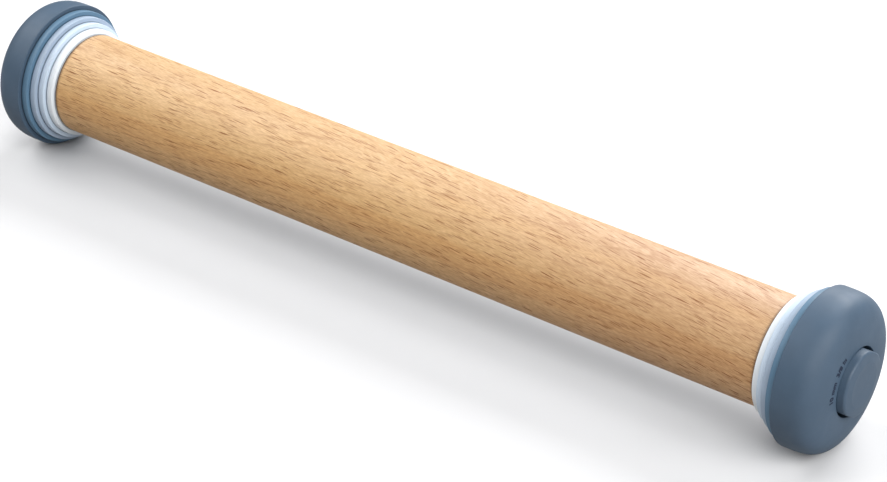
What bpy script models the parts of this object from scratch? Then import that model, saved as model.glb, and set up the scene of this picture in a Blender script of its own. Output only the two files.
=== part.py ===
"""Adjustable rolling pin: a beech roller with five thickness discs and a knob at each end.

The pin lies along X on the worktop, which is the plane Z = 0.
The origin is on the worktop, under the middle of the roller.
Each end is built in its own frame, whose Z axis points out of the roller's end.
"""

import math

import bmesh
import bpy

# Roller
ROLLER_DIAMETER = 0.045
ROLLER_LENGTH = 0.359
ROLLER_EDGE = 0.0005

# Discs
DISC_STEP = 0.002
DISC_THICKNESS = 0.0028
DISC_EDGE = 0.0003
DISC_NAMES = ("disc_2mm", "disc_4mm", "disc_6mm", "disc_8mm")

# Cap disc
CAP_EDGE = 0.0004
CAP_RIM_WIDTH = 0.0017
CAP_DOME_RISE = 0.0163
CAP_RECESS_DIAMETER = 0.0284
CAP_RECESS_DEPTH = 0.008
CAP_RECESS_EDGE = 0.0003
DOME_ROUND_POWER = 4.29
DOME_RISE_POWER = 3.72
DOME_POINTS = 9

# Knob
KNOB_CLEARANCE = 0.0003
KNOB_RISE = 0.0035
KNOB_WALL_RISE = 0.0012
KNOB_FACE_DIAMETER = 0.0172
KNOB_WIDTH = 0.0259
KNOB_ROUND_POINTS = 5
KNOB_TURNED_BY = math.radians(143)

# Stem and thread
STEM_DIAMETER = 0.012
STEM_CORE_DIAMETER = 0.0098
STEM_SHANK_REACH = 0.0015
STEM_TIP_GAP = 0.001
STEM_TIP_EDGE = 0.001
THREAD_PITCH = 0.004
THREAD_HEIGHT = 0.0009
THREAD_FOOT_WIDTH = 0.0022
THREAD_CREST_WIDTH = 0.0008
THREAD_SINK = 0.0004
THREAD_LEAD = 0.0003
THREAD_CLEARANCE = 0.0002

# Threaded insert
INSERT_DIAMETER = 0.018
INSERT_LENGTH = 0.0235

# Fits and facets
SEAT_GAP = 0.0003
BORE_CLEARANCE = 0.0001
CUT_OVERRUN = 0.002
MERGE_DISTANCE = 0.00001
ROUND_STEPS = 48
KNOB_STEPS = 24
SHARP_ANGLE = math.radians(35)

# Sizes that follow from the ones above
ROLLER_RADIUS = ROLLER_DIAMETER / 2
ROLLER_END = ROLLER_LENGTH / 2
CAP_RADIUS = ROLLER_RADIUS + DISC_STEP * (len(DISC_NAMES) + 1)
CAP_BASE = ROLLER_END + SEAT_GAP + len(DISC_NAMES) * (DISC_THICKNESS + SEAT_GAP)
CAP_TOP = CAP_RIM_WIDTH + CAP_DOME_RISE
CAP_FLOOR = CAP_TOP - CAP_RECESS_DEPTH
KNOB_BASE = CAP_BASE + CAP_FLOOR + SEAT_GAP
KNOB_RADIUS = CAP_RECESS_DIAMETER / 2 - KNOB_CLEARANCE
STEM_RADIUS = STEM_DIAMETER / 2
STEM_CORE_RADIUS = STEM_CORE_DIAMETER / 2
STEM_BORE_RADIUS = STEM_RADIUS + BORE_CLEARANCE
THREAD_CREST_RADIUS = STEM_CORE_RADIUS + THREAD_HEIGHT
STEM_REACH = INSERT_LENGTH - STEM_TIP_GAP
THREAD_TOP_REACH = STEM_SHANK_REACH + THREAD_LEAD + THREAD_FOOT_WIDTH
THREAD_ROOM = STEM_REACH - STEM_TIP_EDGE - THREAD_FOOT_WIDTH / 2 - THREAD_TOP_REACH
THREAD_TURNS = max(1, int(THREAD_ROOM / THREAD_PITCH))
THREAD_BOTTOM = ROLLER_END - THREAD_TOP_REACH - THREAD_TURNS * THREAD_PITCH
AXIS_HEIGHT = CAP_RADIUS * math.cos(math.pi / ROUND_STEPS)


def clear_scene():
    """Remove everything that the scene holds."""
    for obj in list(bpy.data.objects):
        bpy.data.objects.remove(obj, do_unlink=True)
    for collection in list(bpy.data.collections):
        bpy.data.collections.remove(collection)


def new_collection(name):
    """Add a collection to the scene."""
    collection = bpy.data.collections.new(name)
    bpy.context.scene.collection.children.link(collection)
    return collection


def linear(channel):
    """Turn one 8-bit colour channel into a linear value."""
    value = channel / 255
    if value <= 0.04045:
        return value / 12.92
    return ((value + 0.055) / 1.055) ** 2.4


def new_material(name, colour, roughness):
    """Make a Principled material from an 8-bit colour."""
    material = bpy.data.materials.new(name)
    material.use_nodes = True
    shader = material.node_tree.nodes["Principled BSDF"]
    red, green, blue = (linear(channel) for channel in colour)
    shader.inputs["Base Color"].default_value = (red, green, blue, 1)
    shader.inputs["Roughness"].default_value = roughness
    shader.inputs["Metallic"].default_value = 0
    return material


def beech_wood():
    """Return the roller's oiled beech."""
    return new_material("beech_wood", (214, 168, 124), 0.55)


def insert_plastic():
    """Return the threaded insert's natural nylon."""
    return new_material("insert_plastic", (224, 220, 208), 0.45)


def white_plastic():
    """Return the 2 mm disc's white."""
    return new_material("white_plastic", (244, 245, 250), 0.4)


def ice_plastic():
    """Return the 4 mm disc's ice blue."""
    return new_material("ice_plastic", (213, 228, 245), 0.4)


def lavender_plastic():
    """Return the 6 mm disc's lavender grey."""
    return new_material("lavender_plastic", (158, 167, 188), 0.4)


def steel_plastic():
    """Return the 8 mm disc's steel blue."""
    return new_material("steel_plastic", (88, 121, 150), 0.4)


def slate_plastic():
    """Return the cap disc's dark slate blue."""
    return new_material("slate_plastic", (82, 100, 118), 0.38)


def knob_plastic():
    """Return the knob's slate blue."""
    return new_material("knob_plastic", (80, 98, 116), 0.36)


def shade(mesh):
    """Shade round faces smooth and keep the corners sharp."""
    mesh.shade_smooth()
    mesh.set_sharp_from_angle(angle=SHARP_ANGLE)


def bake_modifiers(obj):
    """Replace the object's mesh with the shape that its modifiers give."""
    depsgraph = bpy.context.evaluated_depsgraph_get()
    mesh = bpy.data.meshes.new_from_object(obj.evaluated_get(depsgraph))
    mesh.name = obj.name
    obj.modifiers.clear()
    obj.data = mesh
    shade(mesh)


def turned(name, outline, steps, collection):
    """Turn an outline of (radius, height) points about Z.

    An outline that starts off the axis closes on itself and makes a ring.
    """
    points = [(radius, 0, height) for radius, height in outline]
    edges = [(index, index + 1) for index in range(len(points) - 1)]
    if outline[0][0] > 0:
        edges.append((len(points) - 1, 0))
    mesh = bpy.data.meshes.new(name)
    mesh.from_pydata(points, edges, [])
    obj = bpy.data.objects.new(name, mesh)
    collection.objects.link(obj)
    screw = obj.modifiers.new("Turn", "SCREW")
    screw.axis = "Z"
    screw.angle = math.tau
    screw.steps = steps
    screw.render_steps = steps
    screw.use_merge_vertices = True
    screw.merge_threshold = MERGE_DISTANCE
    bake_modifiers(obj)
    return obj


def hide_cutter(obj):
    """Mark an object as a cutter, which is not a piece of the pin."""
    obj.hide_render = True
    obj.display_type = "WIRE"


def combine(obj, other, operation):
    """Join, cut or intersect a piece with another solid."""
    modifier = obj.modifiers.new(operation.title(), "BOOLEAN")
    modifier.operation = operation
    modifier.solver = "EXACT"
    modifier.object = other
    bake_modifiers(obj)


def slab(name, width, length, low, high, collection):
    """Make a box that is centred on Z and reaches from low to high."""
    mesh = bpy.data.meshes.new(name)
    shape = bmesh.new()
    bmesh.ops.create_cube(shape, size=1)
    bmesh.ops.scale(shape, vec=(width, length, high - low), verts=shape.verts)
    bmesh.ops.translate(shape, vec=(0, 0, (low + high) / 2), verts=shape.verts)
    shape.to_mesh(mesh)
    shape.free()
    obj = bpy.data.objects.new(name, mesh)
    collection.objects.link(obj)
    hide_cutter(obj)
    return obj


def thread_ridge(name, bottom, turns, margin, collection):
    """Make the right-hand helical ridge, grown on every side by the margin.

    It starts half a facet round from +X, clear of the stem's own edges.
    """
    foot = THREAD_FOOT_WIDTH / 2 + margin
    crest = THREAD_CREST_WIDTH / 2 + margin
    inner = STEM_CORE_RADIUS - THREAD_SINK
    outer = THREAD_CREST_RADIUS + margin
    section = [
        (outer, bottom + crest),
        (outer, bottom - crest),
        (inner, bottom - foot),
        (inner, bottom + foot),
    ]
    start = math.pi / KNOB_STEPS
    points = [(span * math.cos(start), span * math.sin(start), height) for span, height in section]
    mesh = bpy.data.meshes.new(name)
    mesh.from_pydata(points, [(0, 1), (1, 2), (2, 3), (3, 0)], [])
    obj = bpy.data.objects.new(name, mesh)
    collection.objects.link(obj)
    screw = obj.modifiers.new("Helix", "SCREW")
    screw.axis = "Z"
    screw.angle = math.tau
    screw.screw_offset = THREAD_PITCH
    screw.iterations = turns
    screw.steps = KNOB_STEPS
    screw.render_steps = KNOB_STEPS
    bake_modifiers(obj)
    shape = bmesh.new()
    shape.from_mesh(obj.data)
    bmesh.ops.holes_fill(shape, edges=shape.edges, sides=len(points))
    bmesh.ops.recalc_face_normals(shape, faces=shape.faces)
    shape.to_mesh(obj.data)
    shape.free()
    hide_cutter(obj)
    return obj


def dress(obj, material):
    """Give a piece its one material."""
    obj.data.materials.clear()
    obj.data.materials.append(material)


def place(obj, frame, distance, turn):
    """Put a piece on the pin's axis, at a distance from the middle."""
    obj.parent = frame
    obj.location = (0, 0, distance)
    obj.rotation_euler = (0, 0, turn)


def end_frame(name, side, collection):
    """Add the empty whose Z axis points out of one end of the roller."""
    frame = bpy.data.objects.new(name, None)
    collection.objects.link(frame)
    frame.location = (0, 0, AXIS_HEIGHT)
    frame.rotation_euler = (0, side * math.pi / 2, 0)
    return frame


def roller(collection, frame):
    """Turn the beech roller, with a blind socket in each end."""
    socket = INSERT_DIAMETER / 2 + SEAT_GAP
    floor = ROLLER_END - INSERT_LENGTH - SEAT_GAP
    half = [
        (0, floor),
        (socket, floor),
        (socket, ROLLER_END),
        (ROLLER_RADIUS - ROLLER_EDGE, ROLLER_END),
        (ROLLER_RADIUS, ROLLER_END - ROLLER_EDGE),
    ]
    outline = half + [(radius, -height) for radius, height in reversed(half)]
    obj = turned("roller", outline, ROUND_STEPS, collection)
    dress(obj, beech_wood())
    place(obj, frame, 0, math.pi / ROUND_STEPS)
    return obj


def threaded_insert(side_name, frame, material, collection, cutters):
    """Make the nut that is glued into the roller's end."""
    outer = INSERT_DIAMETER / 2
    bore = STEM_CORE_RADIUS + THREAD_CLEARANCE
    mouth = STEM_BORE_RADIUS
    mouth_depth = STEM_SHANK_REACH + THREAD_CLEARANCE
    outline = [
        (outer, 0),
        (outer, -INSERT_LENGTH),
        (bore, -INSERT_LENGTH),
        (bore, -mouth_depth - (mouth - bore)),
        (mouth, -mouth_depth),
        (mouth, 0),
    ]
    obj = turned("insert_" + side_name, outline, KNOB_STEPS, collection)
    turns_below = math.ceil((THREAD_BOTTOM - ROLLER_END + INSERT_LENGTH) / THREAD_PITCH) + 1
    bottom = THREAD_BOTTOM - ROLLER_END - turns_below * THREAD_PITCH
    turns = math.ceil((CUT_OVERRUN - bottom) / THREAD_PITCH)
    groove = thread_ridge("groove_" + side_name, bottom, turns, THREAD_CLEARANCE, cutters)
    combine(obj, groove, "DIFFERENCE")
    dress(obj, material)
    place(obj, frame, ROLLER_END, KNOB_TURNED_BY)
    return obj


def thickness_disc(name, index, frame, material, collection):
    """Turn one plain thickness disc, a step larger than the one inside it."""
    radius = ROLLER_RADIUS + DISC_STEP * (index + 1)
    base = ROLLER_END + SEAT_GAP + index * (DISC_THICKNESS + SEAT_GAP)
    outline = [
        (radius - DISC_EDGE, DISC_THICKNESS),
        (radius, DISC_THICKNESS - DISC_EDGE),
        (radius, DISC_EDGE),
        (radius - DISC_EDGE, 0),
        (STEM_BORE_RADIUS, 0),
        (STEM_BORE_RADIUS, DISC_THICKNESS),
    ]
    obj = turned(name, outline, ROUND_STEPS, collection)
    dress(obj, material)
    place(obj, frame, base, math.pi / ROUND_STEPS)
    return obj


def dome_outline(inner_radius):
    """Return the cap's rounded outer side, from the recess down to the rim."""
    inner_angle = math.acos((inner_radius / CAP_RADIUS) ** (DOME_ROUND_POWER / 2))
    points = []
    for index in range(DOME_POINTS):
        angle = inner_angle * (DOME_POINTS - 1 - index) / (DOME_POINTS - 1)
        radius = CAP_RADIUS * math.cos(angle) ** (2 / DOME_ROUND_POWER)
        rise = CAP_DOME_RISE * math.sin(angle) ** (2 / DOME_RISE_POWER)
        points.append((radius, CAP_RIM_WIDTH + rise))
    return points


def cap_disc(side_name, frame, material, collection):
    """Turn the thick outer disc, domed, with a round recess for the knob."""
    recess = CAP_RECESS_DIAMETER / 2
    dome = dome_outline(recess + CAP_RECESS_EDGE)
    recess_top = dome[0][1] - CAP_RECESS_EDGE
    outline = dome + [
        (CAP_RADIUS, CAP_EDGE),
        (CAP_RADIUS - CAP_EDGE, 0),
        (STEM_BORE_RADIUS, 0),
        (STEM_BORE_RADIUS, CAP_FLOOR),
        (recess, CAP_FLOOR),
        (recess, recess_top),
    ]
    obj = turned("cap_disc_10mm_" + side_name, outline, ROUND_STEPS, collection)
    dress(obj, material)
    place(obj, frame, CAP_BASE, math.pi / ROUND_STEPS)
    return obj


def knob_round():
    """Return the rounded edge of the knob, from its flat face to its side."""
    face = KNOB_FACE_DIAMETER / 2
    points = []
    for index in range(KNOB_ROUND_POINTS):
        angle = math.pi / 2 * (1 - index / (KNOB_ROUND_POINTS - 1))
        radius = face + (KNOB_RADIUS - face) * math.cos(angle)
        rise = KNOB_WALL_RISE + (KNOB_RISE - KNOB_WALL_RISE) * math.sin(angle)
        points.append((radius, CAP_BASE + CAP_TOP + rise - KNOB_BASE))
    return points


def knob(side_name, frame, material, collection, cutters):
    """Make the grip, with two flats for the fingers, and its threaded stem."""
    shank_end = ROLLER_END - STEM_SHANK_REACH - KNOB_BASE
    tip = ROLLER_END - STEM_REACH - KNOB_BASE
    neck = STEM_RADIUS - STEM_CORE_RADIUS
    edge = knob_round()
    outline = [(0, edge[0][1])] + edge + [
        (KNOB_RADIUS, 0),
        (STEM_RADIUS, 0),
        (STEM_RADIUS, shank_end + neck),
        (STEM_CORE_RADIUS, shank_end),
        (STEM_CORE_RADIUS, tip + STEM_TIP_EDGE),
        (STEM_CORE_RADIUS - STEM_TIP_EDGE, tip),
        (0, tip),
    ]
    obj = turned("knob_" + side_name, outline, KNOB_STEPS, collection)
    length = 2 * (KNOB_RADIUS + CUT_OVERRUN)
    low = tip - CUT_OVERRUN
    high = edge[0][1] + CUT_OVERRUN
    flats = slab("flats_" + side_name, KNOB_WIDTH, length, low, high, cutters)
    combine(obj, flats, "INTERSECT")
    bottom = THREAD_BOTTOM - KNOB_BASE
    ridge = thread_ridge("ridge_" + side_name, bottom, THREAD_TURNS, 0, cutters)
    combine(obj, ridge, "UNION")
    dress(obj, material)
    place(obj, frame, KNOB_BASE, KNOB_TURNED_BY)
    return obj


def main():
    """Build the whole pin."""
    clear_scene()
    parts = new_collection("adjustable_rolling_pin")
    cutters = new_collection("cutters")
    disc_materials = (white_plastic(), ice_plastic(), lavender_plastic(), steel_plastic())
    cap_material = slate_plastic()
    knob_material = knob_plastic()
    insert_material = insert_plastic()
    frames = {
        "right": end_frame("right_end", 1, parts),
        "left": end_frame("left_end", -1, parts),
    }
    roller(parts, frames["right"])
    for side_name, frame in frames.items():
        threaded_insert(side_name, frame, insert_material, parts, cutters)
        for index, disc_name in enumerate(DISC_NAMES):
            name = disc_name + "_" + side_name
            thickness_disc(name, index, frame, disc_materials[index], parts)
        cap_disc(side_name, frame, cap_material, parts)
        knob(side_name, frame, knob_material, parts, cutters)


if __name__ == "__main__":
    main()
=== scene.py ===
import math

import bmesh
import bpy
from mathutils import Euler, Matrix, Vector


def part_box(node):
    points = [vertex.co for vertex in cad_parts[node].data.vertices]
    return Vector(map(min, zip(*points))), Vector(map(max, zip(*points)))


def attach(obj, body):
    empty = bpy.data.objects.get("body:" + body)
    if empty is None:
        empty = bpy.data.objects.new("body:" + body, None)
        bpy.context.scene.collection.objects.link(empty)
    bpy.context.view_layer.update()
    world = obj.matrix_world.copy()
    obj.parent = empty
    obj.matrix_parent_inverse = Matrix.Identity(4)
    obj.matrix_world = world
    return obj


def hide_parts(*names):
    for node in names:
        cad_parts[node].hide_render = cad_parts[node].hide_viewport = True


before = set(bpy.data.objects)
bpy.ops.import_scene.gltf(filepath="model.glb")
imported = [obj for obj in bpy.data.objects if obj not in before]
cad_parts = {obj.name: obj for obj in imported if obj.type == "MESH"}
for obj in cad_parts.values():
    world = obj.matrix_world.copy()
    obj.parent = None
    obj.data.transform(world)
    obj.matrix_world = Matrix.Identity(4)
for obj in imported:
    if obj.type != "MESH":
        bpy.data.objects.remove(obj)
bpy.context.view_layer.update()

bl_info = {
    "name": "Adjustable Rolling Pin",
    "version": (1, 0, 0),
    "blender": (4, 5, 0),
    "location": "3D View > Sidebar > Rolling Pin",
    "description": "Makes a rolling pin with stepped thickness discs and screw knobs",
    "category": "Add Mesh",
}

SIDES = {"right": 1, "left": -1}
DISCS = {"disc_2mm": "white", "disc_4mm": "ice", "disc_6mm": "lavender", "disc_8mm": "steel"}
MM = 1000

# Steps round the axis, over a rounded edge, up the dome and in a turn of the thread.
PIN_STEPS = 192
ARC_STEPS = 5
DOME_STEPS = 40
THREAD_STEPS = 64
# Extra steps on each side of a corner of the knob's flats.
CORNER_STEPS = 12
CORNER_STEP = math.radians(0.5)
SMALLEST_COSINE = 0.01

# Rounding of the corners that no setting names, and distance of the points that guard it.
SOFT_EDGE = 0.0003
FINE_EDGE = 0.0002
CRISP_EDGE = 0.0001
GUARD = 0.00012
MERGE_DISTANCE = 0.000001
# A face whose normal lies this near the axis is flat.
FLAT_NORMAL = 0.999
# Lean of the copied letters, which keeps their faces apart.
LETTER_LEAN = (0.02, 0.04, 0)

# Cell of each pattern in the beech, in millimetres: along the fibres, across and outward.
CELLS = {
    "drift": (90, 25, 25),
    "ring": (120, 6, 20),
    "band": (35, 4, 9),
    "cloud": (50, 9, 14),
    "streak": (30, 0.5, 8),
    "smear": (24, 3.2, 8),
    "fibre": (3.2, 0.26, 1.5),
    "coarse": (9, 0.8, 6),
    "long_ray": (16, 0.56, 4),
    "thin_ray": (10, 0.45, 4),
}
# Noise levels at which a pattern starts to show and shows in full.
LEVELS = {
    "band": (0.35, 0.65),
    "cloud": (0.34, 0.68),
    "streak": (0.36, 0.66),
    "smear": (0.66, 0.78),
}
# How far the fibres and the growth rings waver, in millimetres.
SWAY = 4.0
RING_SWAY = 3.0
# Slope of the rings along the roller, and shift of the rays' rows for each millimetre.
SLOPE = -0.05
STAGGER = 7.3
# Part of a growth ring at which the late wood starts, and at which it ends.
LATE_WOOD = (0.6, 0.93)
# How much of the deep wood's colour, or of the flecks' strength, a pattern brings.
CLOUD_TONE = 0.08
STREAK_TONE = 0.18
SMEAR_TONE = 0.12
BAND_SHARE = 0.3
THIN_SHARE = 0.75
# Reach of a ray in its cell, the part of it that is full, and the scatter of the cells.
RAY_REACH = 0.28
RAY_CORE = 0.75
RAY_SCATTER = 0.65
# A cell whose luck is below this has no ray.
LONG_LUCK = -0.2
THIN_LUCK = 0.0
# Brightness of the fibres: its base, what two patterns add, and its powers in green and blue.
FIBRE_BASE = 0.45
FIBRE_SHARE = 0.95
COARSE_SHARE = 0.1
GREEN_POWER = 1.35
BLUE_POWER = 1.9
FIBRE_RELIEF = 0.35
# Where the warm tint fades, in its own widths.
WARM_BAND = (0.65, 1.35)
# Where the other tints change, in millimetres over the axis or along the roller. The top tint is
# a painted highlight, the shade tint is painted shade underneath, and the end tint is painted
# shade that darkens the roller towards its right end.
HIGHLIGHT_TOP = 22.5
SHADE_BAND = (-5.0, 2.0)
RIGHT_END_SHADE_BAND = (-10.0, 150.0)

NYLON = (224, 220, 208)
# Colour and width of the painted shade along the rims of the wood's two ends.
WOOD_CREASE_SHADE = (50, 28, 16)
WOOD_CREASE_SHADE_WIDTH = 1.9
WOOD_SPECULAR = 0.65
WOOD_ROUGHNESS = 0.5
# How much rougher a fleck is than the wood round it.
FLECK_ROUGHNESS = 0.2
# Spread of the roughness, and size of its patches in millimetres.
WOOD_WEAR = {"Spread": 0.08, "Patch Size": 18.0}
PLASTIC_WEAR = {"Spread": 0.07, "Patch Size": 9.0}
# Noise levels between which the wear, the plastic's clouds and the floor's mottle change.
WEAR_LEVELS = (0.35, 0.65)
CLOUD_LEVELS = (0.3, 0.7)
MOTTLE_LEVELS = (0.2, 0.8)
WOOD_RELIEF = {"Strength": 0.35, "Distance": 0.0001}
PLASTIC_RELIEF = {"Strength": 0.12, "Distance": 0.00004}

# Spacing of the nodes in a tree.
COLUMN_WIDTH = 220
ROW_HEIGHT = 260

FLOOR_REACH = 8
FLOOR_ROUGHNESS = 0.9
FLOOR_MOTTLE = 0.02
FLOOR_DARKEST = 0.985
SENSOR_WIDTH = 36
NEAREST_VIEW = 0.01
# Each light's name, its degrees round the pin and over the floor, and its watts.
LIGHTS = (
    ("back_light", 90, 35, 45),
    ("right_light", 0, 30, 24),
    ("front_right_light", -40, 45, 20),
    ("front_left_light", -140, 45, 12),
    ("left_light", 180, 45, 20),
)


def frame_radius(node):
    """Return the radius of a round CAD node that lies along X."""
    low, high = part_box(node)
    return (high.z - low.z) / 2


def frame_span(node):
    """Return how far along X a node of the right end starts and stops."""
    low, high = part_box(node)
    return low.x, high.x


def srgb(red, green, blue):
    """Turn 8-bit channels into a linear colour with full alpha."""
    channels = []
    for channel in (red, green, blue):
        value = channel / 255
        if value <= 0.04045:
            channels.append(value / 12.92)
        else:
            channels.append(((value + 0.055) / 1.055) ** 2.4)
    return (*channels, 1)


ROLLER_END = frame_span("roller")[1]
AXIS_HEIGHT = sum(corner.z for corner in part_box("roller")) / 2
CAP_BASE = frame_span("cap_disc_10mm_right")[0]
STEM_TIP, KNOB_TOP = frame_span("knob_right")


def number(name, description, default, **options):
    """Return a number property."""
    return bpy.props.FloatProperty(
        name=name, description=description, default=default, **options
    )


def size(name, description, default):
    """Return a length property."""
    options = {"min": 0, "precision": 5, "subtype": "DISTANCE", "unit": "LENGTH"}
    return number(name, description, default, **options)


def turn(name, description, degrees):
    """Return an angle property."""
    return number(name, description, math.radians(degrees), subtype="ANGLE", unit="ROTATION")


def colour(name, description, red, green, blue):
    """Return a colour property from 8-bit channels."""
    return bpy.props.FloatVectorProperty(
        name=name,
        description=description,
        default=srgb(red, green, blue),
        min=0,
        max=1,
        size=4,
        subtype="COLOR",
    )


def place(name, description, default):
    """Return a property that holds a point."""
    return bpy.props.FloatVectorProperty(
        name=name,
        description=description,
        default=default,
        size=3,
        precision=5,
        subtype="TRANSLATION",
        unit="LENGTH",
    )


class RollerSettings(bpy.types.PropertyGroup):
    """Sizes and wood colours of the roller."""

    radius: size("Radius", "Radius of the wood", frame_radius("roller"))
    edge: size("Edge", "Rounding of the wood's two ends", 0.0005)
    socket_radius: size("Socket radius", "Radius of the socket in each end", 0.0093)
    socket_depth: size("Socket depth", "Depth of the socket in each end", 0.0238)
    pale: colour("Pale wood", "Beech between the growth rings", 215, 175, 122)
    deep: colour("Deep wood", "Beech in the growth rings and darker streaks", 184, 130, 76)
    fleck: colour("Fleck", "Short dark rays in the beech", 130, 70, 8)
    bounce: colour("Bounce", "Colour of the light that the wood throws back", 206, 208, 214)
    facing: turn("Facing", "Side of the roller that faces away from the tree's heart", 140)
    run_out: turn("Run-out", "How far the fibres run out of the wood", 9)
    run_side: turn("Run-out side", "Side of the roller that the fibres dive into", 171)
    bow: number("Bow", "Bend of the fibres for each millimetre", 0.00014)


class DiscSettings(bpy.types.PropertyGroup):
    """Sizes and colours of the plain thickness discs."""

    bore_radius: size("Bore radius", "Radius of the hole for the stem", 0.0061)
    edge: size("Edge", "Rounding of the rim", 0.0003)
    white: colour("2 mm colour", "Plastic of the 2 mm disc", 232, 237, 241)
    ice: colour("4 mm colour", "Plastic of the 4 mm disc", 197, 212, 228)
    lavender: colour("6 mm colour", "Plastic of the 6 mm disc", 162, 178, 197)
    steel: colour("8 mm colour", "Plastic of the 8 mm disc", 91, 124, 150)


class CapSettings(bpy.types.PropertyGroup):
    """Sizes and colour of the domed cap disc."""

    radius: size("Radius", "Radius of the rim", frame_radius("cap_disc_10mm_right"))
    rim: size("Rim width", "Straight part of the rim", 0.0017)
    rise: size("Dome rise", "Height of the dome over the rim", 0.0163)
    edge: size("Edge", "Rounding of the rim's inner edge", 0.0004)
    recess_radius: size("Recess radius", "Radius of the recess for the knob", 0.0142)
    recess_depth: size("Recess depth", "Depth of the recess", 0.008)
    recess_edge: size("Recess edge", "Rounding of the recess's mouth", 0.0004)
    round_power: number("Side fullness", "Power of the radius in the dome's curve", 4.29)
    rise_power: number("Top fullness", "Power of the height in the dome's curve", 3.72)
    slate: colour("Cap colour", "Plastic of the cap disc", 67, 87, 107)


class MarkSettings(bpy.types.PropertyGroup):
    """The size marks on the cap disc's dome."""

    words: bpy.props.StringProperty(
        name="Words",
        description="Thickness that the bare pin rolls, on the cap disc",
        default="10 mm  3/8 in",
    )
    height: size("Letter size", "Size of the letters", 0.003)
    radius: size("Arc radius", "Radius of the arc that the words stand on", 0.0168)
    spacing: number("Spacing", "Distance between the letters", 1.06)
    boldness: size("Boldness", "How much thicker the strokes are", 0.0003)
    start: turn("Start", "Where the words start round the knob", 272)
    proud: size("Proud", "How far the letters stand out of the dome", 0.00004)
    thickness: size("Thickness", "Thickness of the letters", 0.0001)
    ink: colour("Mark colour", "Colour of the letters", 14, 30, 54)


class KnobSettings(bpy.types.PropertyGroup):
    """Sizes and colour of the knob and its stem."""

    radius: size("Radius", "Radius of the grip", 0.0139)
    width: size("Width", "Distance between the two flats", 0.0259)
    turned: turn("Turned by", "How far the flats are turned at rest", 143)
    corner_power: number("Corner sharpness", "Sharpness of the flats' corners", 70)
    face_radius: size("Face radius", "Radius of the flat outer face", 0.0092)
    rise: size("Rise", "Height of the face over the dome's top", 0.0035)
    shoulder: size("Shoulder", "Drop of the cone round the face", 0.0006)
    shoulder_radius: size("Shoulder radius", "Radius where the cone meets the side", 0.0135)
    shoulder_edge: size("Shoulder edge", "Rounding of the cone's outer edge", 0.0012)
    wall: size("Wall", "Height of the straight side", 0.0075)
    wall_edge: size("Wall edge", "Rounding over the straight side", 0.003)
    floor_gap: size("Floor gap", "Gap between the grip and the recess's floor", 0.0003)
    stem_radius: size("Stem radius", "Radius of the plain part of the stem", 0.006)
    core_radius: size("Core radius", "Radius of the stem inside the thread", 0.0049)
    shank: size("Shank", "How far the plain stem reaches into the roller", 0.0015)
    tip: size("Tip edge", "Chamfer of the stem's tip", 0.001)
    pitch: size("Pitch", "Travel of the thread in one turn", 0.004)
    ridge: size("Ridge height", "Height of the thread over the core", 0.0009)
    foot: size("Ridge foot", "Width of the thread at the core", 0.0022)
    crest: size("Ridge crest", "Width of the thread at its crest", 0.0008)
    sink: size("Ridge sink", "Depth of the thread's foot inside the core", 0.0004)
    lead: size("Lead", "Distance from the shank to the thread", 0.0003)
    thread_start: turn("Thread start", "Where the thread starts round the stem", 7.5)
    turns: bpy.props.IntProperty(name="Turns", description="Turns of the thread", default=4)
    slate: colour("Knob colour", "Plastic of the knob", 66, 86, 106)


class StageSettings(bpy.types.PropertyGroup):
    """Floor, light and camera."""

    floor: colour("Floor", "Colour of the floor", 218, 218, 219)
    bounce: colour("Bounce", "Colour of the light that the floor throws back", 168, 167, 166)
    ambient: number("Ambient", "Strength of the light from all round", 0.05)
    light_width: size("Light width", "Width of each soft light", 1.2)
    light_distance: size("Light distance", "Distance of each soft light", 2.0)
    camera: place("Camera", "Where the camera stands", (0.576577, -0.742886, 0.598127))
    aim: place("Aim", "Direction in which the camera looks", (-0.510929, 0.67965, -0.526335))
    lens: number("Lens", "Focal length in millimetres", 107.925)


class PinSettings(bpy.types.PropertyGroup):
    """Everything that a user would change on the rolling pin."""

    roller: bpy.props.PointerProperty(type=RollerSettings)
    discs: bpy.props.PointerProperty(type=DiscSettings)
    cap: bpy.props.PointerProperty(type=CapSettings)
    marks: bpy.props.PointerProperty(type=MarkSettings)
    knob: bpy.props.PointerProperty(type=KnobSettings)
    stage: bpy.props.PointerProperty(type=StageSettings)


def end_matrix(side):
    """Return the frame of one end, whose Z axis points out of the roller."""
    tilt = Euler((0, side * math.pi / 2, 0)).to_matrix().to_4x4()
    return Matrix.Translation((0, 0, AXIS_HEIGHT)) @ tilt


def add_object(name, data):
    """Put a mesh, a light or a camera into the scene as an object at the origin."""
    obj = bpy.data.objects.new(name, data)
    bpy.context.scene.collection.objects.link(obj)
    return obj


def arc(centre, radius, start, stop, steps):
    """Return points of (radius, height) on a circle's arc."""
    points = []
    for index in range(steps + 1):
        angle = start + (stop - start) * index / steps
        points.append(centre + radius * Vector((math.cos(angle), math.sin(angle))))
    return points


def rounded(corners):
    """Round the corners of an outline, whose two ends stay sharp.

    Each corner is (radius, height, rounding). Points just before and after each
    rounding keep the shading of the straight parts flat.
    """
    outline = []
    for index, (radius, height, rounding) in enumerate(corners):
        here = Vector((radius, height))
        if rounding == 0:
            outline.append(here)
            continue
        before = (Vector(corners[index - 1][:2]) - here).normalized()
        after = (Vector(corners[index + 1][:2]) - here).normalized()
        bend = before.angle(after)
        start = here + before * rounding / math.tan(bend / 2)
        stop = here + after * rounding / math.tan(bend / 2)
        centre = here + (before + after).normalized() * rounding / math.sin(bend / 2)
        first = math.atan2(*(start - centre).yx)
        sweep = math.remainder(math.atan2(*(stop - centre).yx) - first, math.tau)
        outline.append(start + before * GUARD)
        outline += arc(centre, rounding, first, first + sweep, ARC_STEPS)
        outline.append(stop + after * GUARD)
    return outline


def even_angles(steps):
    """Return evenly spaced angles round the axis."""
    return [math.tau * index / steps for index in range(steps)]


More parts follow.
